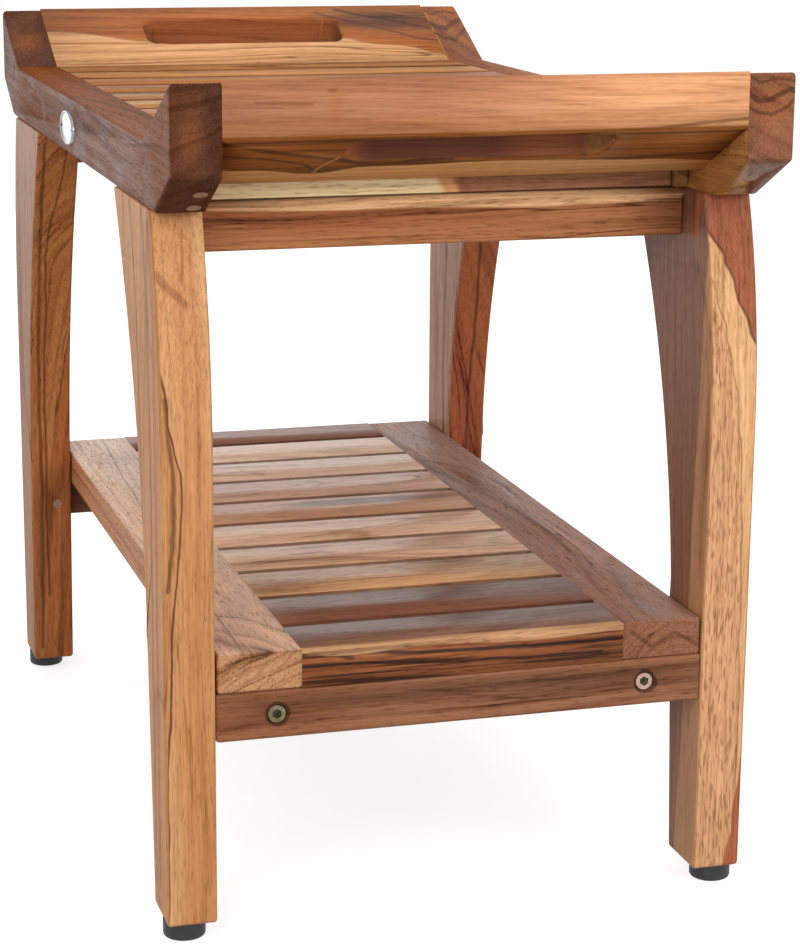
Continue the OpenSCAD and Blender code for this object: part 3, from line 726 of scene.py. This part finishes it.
def far_arm_board():
    slot = slot_faces(-1.0)
    sapwood = [(-162, 467), (-143, 466), (-69, 459), (0, 461), (54, 460), (110, 455), (143, 449),
               (162, 446)]
    board("arm_board_left", "Y", (-0.03, 0.0, 0.09), (0.56, 0.185, 0.038), (0.42, 0.122, 0.028),
          seed=4.0, ring=0.009, tilt=(0.8, 1.6), lines=0.5, pores=0.18, **TOP_EDGES, marks=[
              (pool((-285, 105, 471), (30, 75, 16), 0.8), UMBER, 0.85),
              (stroke([(-300, 76), (-291, 97), (-282, 122), (-271, 148)], 2.0, "Z"), INK, 0.7),
              (stroke([(-296, 60), (-276, 100), (-262, 128), (-256, 150)], 1.6, "Z"), INK, 0.6),
              (stroke([(-286, 160), (-292, 130), (-300, 108)], 1.6, "Z"), ROSE, 0.7),
              (shore("Y", "Z", sapwood, -1, 2.0), (0.74, 0.4, 0.185), 0.94),
              (shoreline("Y", "Z", sapwood, 0.8), BROWN, 0.5),
              (slot, (0.42, 0.14, 0.05), 0.95),
              *on(slot, (pool((-262, 76, 460), (40, 20, 40), 0.6), UMBER, 0.7)),
          ])


# Half width of the painted shade along the slats' seams, in millimetres.
SEAM_HALF = 0.7
SEAT_TONES = [
    (OLIVE, HONEY), (GOLD, HONEY), (HONEY, RUST), (GOLD, HONEY), (TAN, ROSE),
    (PALE, GOLD), (GOLD, TAN), (HONEY, BROWN), (TAN, HONEY),
]
# The pale tones of slats 2 to 8 are partly the wood's own and partly painted light and sheen.
SHELF_TONES_AND_SHEEN = [
    ((0.3, 0.135, 0.085), BROWN),
    ((1.0, 0.74, 0.57), (0.97, 0.67, 0.49)),
    ((0.93, 0.67, 0.55), (0.88, 0.59, 0.43)),
    ((0.9, 0.6, 0.45), (0.7, 0.42, 0.31)),
    ((0.76, 0.38, 0.2), (0.6, 0.32, 0.19)),
    ((0.96, 0.6, 0.4), (0.9, 0.54, 0.34)),
    ((0.88, 0.53, 0.34), (0.8, 0.44, 0.24)),
    ((0.74, 0.4, 0.2), (0.68, 0.36, 0.17)),
    (ROSE, MAUVE),
    (MAUVE, GREY),
]
SLAT_10_TOP = [(-105, 163), (-70, 161), (-20, 162.5), (40, 160.5), (105, 162.5)]
SHELF_MARKS = {
    4: [(stroke([(-61, -100), (-60, 0), (-62, 100)], 2.5, "Z"), PINK, 0.6)],
    5: [(pool((-40, 30, 166), (11, 85, 30), 0.6), PLUM, 0.85),
        # A small patch of painted sheen.
        (pool((-38, 38, 166), (8, 15, 30), 0.7), SHEEN, 0.6)],
    7: [(stroke([(92, -60), (88, 20), (93, 100)], 1.3, "Z"), GREY, 0.6)],
    8: [(stroke([(150, -100), (143, -20), (146, 60)], 1.0, "Z"), BROWN, 0.5)],
    9: [(slab("Y", 40.0, 110.0, 40.0, True), (0.2, 0.075, 0.043), 0.88),
        (pool((190, 10, 166), (9, 60, 30), 0.7), UMBER, 0.5)],
    10: [
        (slab("Z", SHELF_TOP_Z), MAUVE, 0.6),
        (slab("X", SHELF_END_X, 0.9), (0.34, 0.106, 0.03), 0.92),
        *on(slab("X", SHELF_END_X, 1.2),
            (stroke([(-105, 157), (-60, 155.5), (-9, 152), (81, 151)], 1.5), INK, 0.88),
            (stroke([(-70, 163), (-27, 159), (44, 157.5), (105, 158)], 1.6), INK, 0.85),
            (flecks(0.5, 0.6, (0.0, 0.01, 0.42)), INK, 0.8),
            (stroke([(-105, 163.5), (-80, 162.5), (-66, 159)], 2.0), INK, 0.8)),
        *on(slab("X", SHELF_END_X, 4.0, 2.0, True),
            (shore("Y", "Z", SLAT_10_TOP, 1, 1.2), (0.66, 0.37, 0.19), 0.85)),
    ],
}


def slats(prefix, tones, first_seed, marks, **grain):
    """Slats sawn from one place after another, with the heart above and below them by turns, and
    with painted shade on the faces that they turn to each other."""
    for i, (light, deep) in enumerate(tones, start=1):
        low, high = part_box(f"{prefix}_{i}")
        joints = [low[0]] * (i > 1) + [high[0]] * (i < len(tones))
        # Painted shade on the faces where slats meet.
        seam_shade = [(slab("X", 1000.0 * x, SEAM_HALF, 0.5), UMBER, 0.7) for x in joints]
        way = 1 if i % 2 else -1
        offset = (0.015 * math.sin(2.4 * i), 0.0, way * (0.05 + 0.012 * (i % 3)))
        board(f"{prefix}_{i}", "Y", offset, light, deep, seed=first_seed + 1.7 * i,
              width=SLAT_EASE, ring=0.005 + 0.0012 * (i % 3),
              tilt=(1.5 * way, 0.9 * math.cos(3.1 * i)),
              streaks=0.30 + 0.10 * (i % 3), marks=[*marks.get(i, ()), *seam_shade], **grain)


def near_legs():
    vein = [(10, -171), (95, -170), (141, -168), (187, -166), (220, -163), (239, -161.5),
            (252, -160.5), (269, -161), (282, -164), (301, -168), (342, -172), (408, -175)]
    crack = [(-169, 310), (-167, 285), (-165, 262), (-165, 240), (-169, 205)]
    board("leg_front_right", "Z", (0.05, 0.06, 0.0), (0.62, 0.29, 0.118), (0.72, 0.4, 0.19),
          seed=11.0, ring=0.008, tilt=(2.0, 1.0), streaks=0.18, rings=0.18, lines=0.25,
          pores=0.22, marks=[
              (shore("Z", "Y", vein, -1, 0.8), HONEY, 0.55),
              (stroke(crack, 2.0), UMBER, 0.7),
              (shoreline("Z", "Y", vein, 0.9), UMBER, 0.85),
              (stroke([(-171, 375), (-164, 367), (-156, 360)], 3.6), BROWN, 0.55),
              (stroke([(-155, 398), (-157, 372)], 1.2), BROWN, 0.5),
              *on(slab("Y", -150.0, 7.0, 2.0, True), (slab("Z", 90.0, 120.0, 60.0), HONEY, 0.4)),
              (slab("Y", -LEG_OUTER_Y), (0.57, 0.25, 0.075), 0.85),
              *on(slab("Y", -LEG_OUTER_Y, 0.8),
                  (stroke([(190, 408), (206, 354), (214, 243), (214, 66)], 2.0, "Y"), UMBER, 0.75),
                  (stroke([(224, 410), (237, 359), (240, 250), (238, 30)], 4.5, "Y"), MAUVE, 0.7),
                  (stroke([(244, 410), (254, 350), (254, 250), (250, 30)], 6.0, "Y"), RUST, 0.75)),
          ])
    wedge = [(300, 181), (318, 173.5), (331, 167.5), (357, 158.5), (372, 152.5), (392, 143),
             (408, 139)]
    strip = [(10, 168), (60, 168), (111, 167.5), (208, 165.5), (258, 163), (291, 160), (316, 156),
             (332, 152.5), (351, 147), (372, 141)]
    foot = [(10, 162), (40, 166), (70, 170), (100, 174)]
    inner = [(10, 240), (110, 246), (207, 250), (270, 253), (329, 256), (383, 259), (408, 262)]
    lens = [(60, 273), (85, 268), (110, 258), (160, 249), (215, 246), (262, 250), (296, 259),
            (318, 269), (340, 274)]
    outer_face = slab("Y", LEG_OUTER_Y)
    inner_face = slab("Y", LEG_INNER_Y)
    board("leg_back_right", "Z", (0.07, -0.05, 0.0), (0.8, 0.46, 0.225), (0.7, 0.35, 0.15),
          seed=12.0, ring=0.006, tilt=(-2.0, 1.0), streaks=0.15, rings=0.15, lines=0.25,
          pores=0.2, marks=[
              (shore("Z", "Y", strip, -1, 1.0), (0.72, 0.38, 0.19), 0.9),
              *on(shore("Z", "Y", strip, -1, 1.5), (flecks(0.52, 0.66), BROWN, 0.6)),
              (shoreline("Z", "Y", strip, 0.7), BROWN, 0.55),
              (outer_face, RED, 0.93),
              *on(outer_face, (shore("Z", "X", lens, 1, 1.5), GOLD, 0.95),
                  (shoreline("Z", "X", lens, 1.2), UMBER, 0.7)),
              (shore("Z", "Y", wedge, 1, 1.2), (0.35, 0.095, 0.046), 0.93),
              *on(slab("Y", 157.0, 14.0, 0.4), (shoreline("Z", "Y", wedge, 1.5), UMBER, 0.75)),
              (stroke([(172, 350), (168, 368), (170, 392), (163, 408)], 2.4), BROWN, 0.5),
              (shore("Z", "Y", foot, 1, 1.2), RED, 0.9),
              (inner_face, MAUVE, 0.9),
              *on(inner_face, (shore("Z", "X", inner, 1, 1.5), TAN, 0.9),
                  (stroke([(236, 30), (242, 110), (244, 220)], 3.0, "Y"), RED, 0.5),
                  (stroke([(246, 408), (238, 385)], 7.0, "Y"), RUST, 0.7)),
          ])


def far_legs():
    front_line = [(-160, 60), (-161, 220), (-162, 320), (-159, 350), (-154, 372), (-150, 408)]
    board("leg_front_left", "Z", (-0.05, 0.05, 0.0), RUST, HONEY, seed=13.0, ring=0.007,
          tilt=(1.0, -1.4), streaks=0.3, marks=[
              (stroke([(-165, 20), (-164, 140), (-166, 260), (-167, 400)], 2.0), UMBER, 0.7),
              (stroke(front_line, 1.2), UMBER, 0.7),
              (slab("Y", -LEG_OUTER_Y), (0.38, 0.172, 0.07), 0.8),
          ])
    back_line = [(158, 20), (157, 150), (160, 260), (155, 330), (152, 408)]
    board("leg_back_left", "Z", (-0.05, -0.04, 0.0), (0.43, 0.138, 0.052), RED, seed=14.0,
          ring=0.007, tilt=(-1.6, 0.6), streaks=0.3, marks=[
              (stroke(back_line, 1.8), UMBER, 0.75),
              (slab("Y", LEG_INNER_Y), (0.66, 0.39, 0.265), 0.85),
          ])


def bolt_hole_shade(x):
    """Painted shade on the walls of a stretcher's counterbored holes along X."""
    return [(pool((x, y, BOLT_Z), (60.0, 7.6, 7.6), 0.04), UMBER, 0.92)
            for y in (-BOLT_Y, BOLT_Y)]


def end_rails():
    """The aprons, stretchers and cross rails, in pairs."""
    top_edge_highlight = [(-162, 403), (-60, 401.5), (60, 400), (162, 401)]
    for i, end in enumerate(("left", "right")):
        board("apron_" + end, "Y", (0.04, 0.0, -0.05), (0.5, 0.21, 0.085), (0.42, 0.145, 0.055),
              seed=21.0 + i, ring=0.007, lines=0.6, marks=[
                  # A painted highlight along the apron's rounded top edge.
                  (shore("Y", "Z", top_edge_highlight, 1, 2.0), (1.0, 0.6, 0.31), 0.97),
                  # Painted shade towards the back leg, where the apron meets it under the rail.
                  (pool((222, 150, 392), (60, 55, 30), 0.8), BROWN, 0.75),
              ])
        board("stretcher_" + end, "Y", (0.05, 0.0, 0.04), (0.26, 0.112, 0.058),
              (0.35, 0.145, 0.072), seed=23.0 + i, ring=0.009, streaks=0.2, lines=0.3, marks=[
                  (pool((265, -120, 130), (60, 90, 60), 0.9), BROWN, 0.6),
                  *bolt_hole_shade(STRETCHER_X if i else -STRETCHER_X),
              ])
        # The cross rails' near-white tones are partly the wood's own pale colour and partly painted
        # light on faces that lie in shade.
        board("cross_rail_" + end, "Y", (0.04, 0.0, 0.05), (1.0, 0.8, 0.44), (1.0, 0.68, 0.35),
              seed=25.0 + i, ring=0.006, rings=0.2, marks=[
                  (stroke([(-4, 428), (1, 416), (6, 406)], 7.0), ORANGE, 0.85),
                  (stroke([(4, 428), (8, 416), (14, 406)], 5.0), RED, 0.8),
                  (slab("Y", 110.0, 100.0, 4.0, True), (0.34, 0.125, 0.06), 0.94),
                  # Painted shade: a thin dark line along the cross rail's lower edge, over the gap
                  # to the apron.
                  (slab("Z", 408.0, 0.9, 0.5), INK, 0.85),
              ])


def long_rails():
    """The ledgers, the shelf's battens and its two long boards."""
    for i, side in enumerate(("front", "back")):
        board("ledger_" + side, "X", (0.0, 0.03, 0.05), OLIVE, BROWN, seed=27.0 + i, ring=0.006)
        board("shelf_batten_" + side, "X", (0.0, 0.03, 0.06), BROWN, RED, seed=31.0 + i,
              ring=0.007)
    end = slab("X", SHELF_END_X)
    end_lines = [(stroke([(y - 14, 144), (y, 155), (y + 10, 166)], 1.3), BROWN, 0.28)
                 for y in (-138, -128, -119, -108)]
    outer_line = stroke([(-270, 158), (0, 156), (270, 150)], 2.6, "Y")
    # The front shelf board carries a light wash of painted sheen.
    board("shelf_rail_front", "X", (0.0, 0.02, -0.06), (0.86, 0.51, 0.335), (0.76, 0.42, 0.225),
          seed=29.0, ring=0.006, tilt=(0.6, 1.0), pores=0.4, mottle=0.1, flush=SHELF_FLUSH,
          marks=[
              # Paler towards the far end: partly the wood's own tone and partly painted sheen.
              (pool((-230, -118, 166), (180, 60, 30), 0.9), (0.97, 0.74, 0.56), 0.85),
              (stroke([(-270, -112), (0, -124), (270, -127)], 1.0, "Z"), BROWN, 0.6),
              (slab("Y", -SHELF_OUTER_Y), HONEY, 0.9),
              *on(slab("Y", -SHELF_OUTER_Y, 0.8), (outer_line, RED, 0.8)),
              (end, TAN, 0.9),
              *on(slab("X", SHELF_END_X, 0.8), *end_lines),
          ])
    end_line = stroke([(100, 160), (112, 152), (126, 158), (140, 150)], 2.0)
    # The back shelf board carries patches of painted sheen.
    board("shelf_rail_back", "X", (0.0, 0.02, -0.06), (0.4, 0.225, 0.16), (0.4, 0.185, 0.11),
          seed=30.0, ring=0.006, tilt=(0.6, 1.0), pores=0.4, mottle=0.25, flush=SHELF_FLUSH,
          marks=[
              (end, (0.3, 0.12, 0.062), 0.9),
              # A small patch of painted sheen.
              (pool((240, 118, 166), (26, 7, 30), 0.8), SHEEN, 0.5),
              *on(slab("X", SHELF_END_X, 0.8), (end_line, UMBER, 0.55)),
          ])


# ---------------------------------------------------------------- the fittings

BADGE_COLUMNS = 96
BADGE_CROWN = (0.62, 0.1)       # the field's height in the middle, and its fall to the rim
BADGE_RIM = (0.86, 0.04)         # where the step up to the rim starts, and its run
BADGE_EDGE = (0.93, 0.07)        # where the rim starts to round down, and its run


def badge():
    """A bare crowned oval plate with a raised rim, in the place of the flat one.

    Over the oval, the height is a low crown in the field, a smooth step up to the rim, and a
    quarter round down to the rail at the edge, all as shares of the plate's own thickness.
    """
    low, high = (np.array(corner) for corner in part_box("badge_plate"))
    share = np.concatenate([np.linspace(0.02, 0.84, 16), np.linspace(0.86, 1.0, 12)])
    turn = np.linspace(0.0, 2.0 * np.pi, BADGE_COLUMNS + 1)[:-1]
    crown = BADGE_CROWN[0] - BADGE_CROWN[1] * share ** 2
    rise = np.clip((share - BADGE_RIM[0]) / BADGE_RIM[1], 0.0, 1.0)
    fall = np.clip((share - BADGE_EDGE[0]) / BADGE_EDGE[1], 0.0, 1.0)
    height = (crown + (1.0 - crown) * rise ** 2 * (3.0 - 2.0 * rise)) * np.sqrt(1.0 - fall ** 2)
    half = (high - low) / 2
    middle = (high + low) / 2
    front = high[1] - (high[1] - low[1]) * height
    grid = np.stack([
        middle[0] + half[0] * np.outer(share, np.cos(turn)),
        np.repeat(front[:, None], turn.size, axis=1),
        middle[2] + half[2] * np.outer(share, np.sin(turn)),
    ], axis=-1)
    row, column = np.meshgrid(np.arange(share.size - 1), np.arange(turn.size), indexing="ij")
    start = row * turn.size
    after = (column + 1) % turn.size
    quads = np.stack([start + column, start + turn.size + column, start + turn.size + after,
                      start + after], axis=-1).reshape(-1, 4)
    cap = list(range(turn.size))[::-1]
    mesh = bpy.data.meshes.new("badge_crown")
    mesh.from_pydata(grid.reshape(-1, 3).tolist(), [], quads.tolist() + [cap])
    mesh.shade_smooth()
    crown_plate = bpy.data.objects.new("badge_crown", mesh)
    bpy.context.scene.collection.objects.link(crown_plate)
    mesh.materials.append(metal("badge_metal", (0.33, 0.33, 0.345), 0.27, (1.0, 1.0, 8.0)))
    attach(crown_plate, "bench")
    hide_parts("badge_plate")


def fittings():
    corners = [f"{side}_{end}" for side in ("front", "back") for end in ("left", "right")]
    plug = end_grain("peg_end_grain", (0.34, 0.2, 0.13), (0.26, 0.14, 0.08))
    for node in ("arm_pegs", "leg_pegs", "leg_dowels"):
        ease(finish_with(node, plug), SMALL_EASE, whole=True)
    steel = bolt_metal()
    for node in ("shelf_bolts", "apron_bolts"):
        ease(finish_with(node, steel), SMALL_EASE, whole=True)
    screws = metal("screw_steel", (0.6, 0.59, 0.57), 0.32)
    studs = ["foot_stud_" + corner for corner in corners]
    for node in ("seat_screws", "ledger_screws", "shelf_screws", *studs):
        finish_with(node, screws)
    brass = metal("insert_brass", (0.66, 0.47, 0.2), 0.32)
    for node in ("shelf_bolt_inserts", "apron_bolt_inserts", "foot_inserts"):
        finish_with(node, brass)
    rubber = moulded("pad_rubber", (0.01, 0.01, 0.011), 0.55)
    for corner in corners:
        ease(finish_with("foot_pad_" + corner, rubber), SMALL_EASE, whole=True)
    badge()
    finish_with("badge_pins", metal("badge_pin_metal", (0.1, 0.09, 0.085), 0.35))


# ---------------------------------------------------------------- camera, light and floor

# Name, place, target, size and power of each lamp
LAMPS = [
    ("key", (2.15, -1.55, 1.65), (0.0, 0.0, 0.2), (1.6, 1.6), 37.0),
    ("fill", (2.3, 1.35, 1.3), (0.0, 0.0, 0.2), (1.8, 1.4), 28.0),
    ("top", (-0.4, 0.2, 2.6), (0.0, 0.0, 0.3), (2.2, 2.2), 14.0),
    ("back", (-2.6, -0.2, 0.6), (0.0, 0.0, 0.2), (2.8, 1.1), 13.0),
]
WHITE = (1.0, 1.0, 1.0, 1.0)
SURROUND_LIT = 0.55      # the surround's strength as a light
SURROUND_SEEN = 1.0      # and as the camera sees it
FLOOR_HALF = 12.0
FLOOR_PAINT = (0.5, 0.5, 0.5, 1.0)
FLOOR_GLOW = 0.74        # added where the floor is seen, so that it meets the white surround


def photo_camera():
    """The photograph's view: a level bearing, a tilt down and a slight roll."""
    angles = (CAMERA_AZIMUTH, CAMERA_ELEVATION, CAMERA_ROLL)
    bearing, tilt, roll = (math.radians(a) for a in angles)
    forward = Vector((-math.sin(bearing) * math.cos(tilt), math.cos(bearing) * math.cos(tilt),
                      -math.sin(tilt)))
    right = Vector((math.cos(bearing), math.sin(bearing), 0.0))
    up = right.cross(forward)
    rolled_right = right * math.cos(roll) + up * math.sin(roll)
    rolled_up = up * math.cos(roll) - right * math.sin(roll)
    turn = Matrix((rolled_right, rolled_up, -forward)).transposed()
    data = bpy.data.cameras.new("photo_camera")
    data.sensor_fit = "HORIZONTAL"
    data.sensor_width = SENSOR_MM
    data.lens = SENSOR_MM * FOCAL_PX / PHOTO_WIDTH_PX
    data.clip_start, data.clip_end = CAMERA_CLIP
    camera = bpy.data.objects.new("photo_camera", data)
    camera.matrix_world = Matrix.Translation(CAMERA_PLACE) @ turn.to_4x4()
    bpy.context.scene.collection.objects.link(camera)
    bpy.context.scene.camera = camera


def soft_lamp(name, place, target, size, power):
    data = bpy.data.lights.new(name, "AREA")
    data.shape = "RECTANGLE"
    data.size, data.size_y = size
    data.energy = power
    lamp = bpy.data.objects.new(name, data)
    lamp.visible_camera = False
    lamp.location = place
    lamp.rotation_euler = (Vector(target) - Vector(place)).to_track_quat("-Z", "Y").to_euler()
    bpy.context.scene.collection.objects.link(lamp)


def seen_directly(tree):
    """1 for rays from the camera and for those mirrored or passed on by the bench."""
    path = tree.nodes.new("ShaderNodeLightPath")
    seen = path.outputs["Is Camera Ray"]
    for kind in ("Is Glossy Ray", "Is Transmission Ray"):
        larger = tree.nodes.new("ShaderNodeMath")
        larger.operation = "MAXIMUM"
        tree.links.new(seen, larger.inputs[0])
        tree.links.new(path.outputs[kind], larger.inputs[1])
        seen = larger.outputs[0]
    return seen


def surround():
    """A soft light from all around that looks white where it is seen."""
    world = bpy.data.worlds.new("studio_world")
    bpy.context.scene.world = world
    world.use_nodes = True
    tree = world.node_tree
    tree.nodes.clear()
    seen = seen_directly(tree)
    lit, white = (tree.nodes.new("ShaderNodeBackground") for _ in range(2))
    for background, strength in ((lit, SURROUND_LIT), (white, SURROUND_SEEN)):
        background.inputs["Color"].default_value = WHITE
        background.inputs["Strength"].default_value = strength
    pick = tree.nodes.new("ShaderNodeMixShader")
    for source, target in zip((seen, lit.outputs[0], white.outputs[0]), pick.inputs):
        tree.links.new(source, target)
    output = tree.nodes.new("ShaderNodeOutputWorld")
    tree.links.new(pick.outputs[0], output.inputs[0])


def pale_floor():
    """A pale floor that keeps the shadow and otherwise looks white where it is seen."""
    mesh = bpy.data.meshes.new("floor")
    signs = ((-1, -1), (1, -1), (1, 1), (-1, 1))
    corners = [(x * FLOOR_HALF, y * FLOOR_HALF, 0.0) for x, y in signs]
    mesh.from_pydata(corners, [], [(0, 1, 2, 3)])
    floor = bpy.data.objects.new("floor", mesh)
    bpy.context.scene.collection.objects.link(floor)
    material = bpy.data.materials.new("pale_floor")
    material.use_nodes = True
    tree = material.node_tree
    tree.nodes.clear()
    paint = tree.nodes.new("ShaderNodeBsdfDiffuse")
    paint.inputs["Color"].default_value = FLOOR_PAINT
    glow = tree.nodes.new("ShaderNodeEmission")
    glow.inputs["Color"].default_value = WHITE
    strength = tree.nodes.new("ShaderNodeMath")
    strength.operation = "MULTIPLY"
    strength.inputs[1].default_value = FLOOR_GLOW
    tree.links.new(seen_directly(tree), strength.inputs[0])
    tree.links.new(strength.outputs[0], glow.inputs["Strength"])
    together = tree.nodes.new("ShaderNodeAddShader")
    tree.links.new(paint.outputs[0], together.inputs[0])
    tree.links.new(glow.outputs[0], together.inputs[1])
    output = tree.nodes.new("ShaderNodeOutputMaterial")
    tree.links.new(together.outputs[0], output.inputs[0])
    mesh.materials.append(material)


photo_camera()
for lamp in LAMPS:
    soft_lamp(*lamp)
surround()
pale_floor()
bpy.context.scene.view_settings.view_transform = "Standard"
side_rails()
near_arm_board()
far_arm_board()
slats("seat_slat", SEAT_TONES, 40.0, {}, shine=0.02, flush=RAIL_FLUSH)
# The shelf's slats carry a light wash of painted sheen.
slats("shelf_slat", SHELF_TONES_AND_SHEEN, 60.0, SHELF_MARKS, pores=0.3, rings=0.22, lines=0.35,
      mottle=0.08, shine=0.13, flush=SHELF_FLUSH)
near_legs()
far_legs()
end_rails()
long_rails()
fittings()
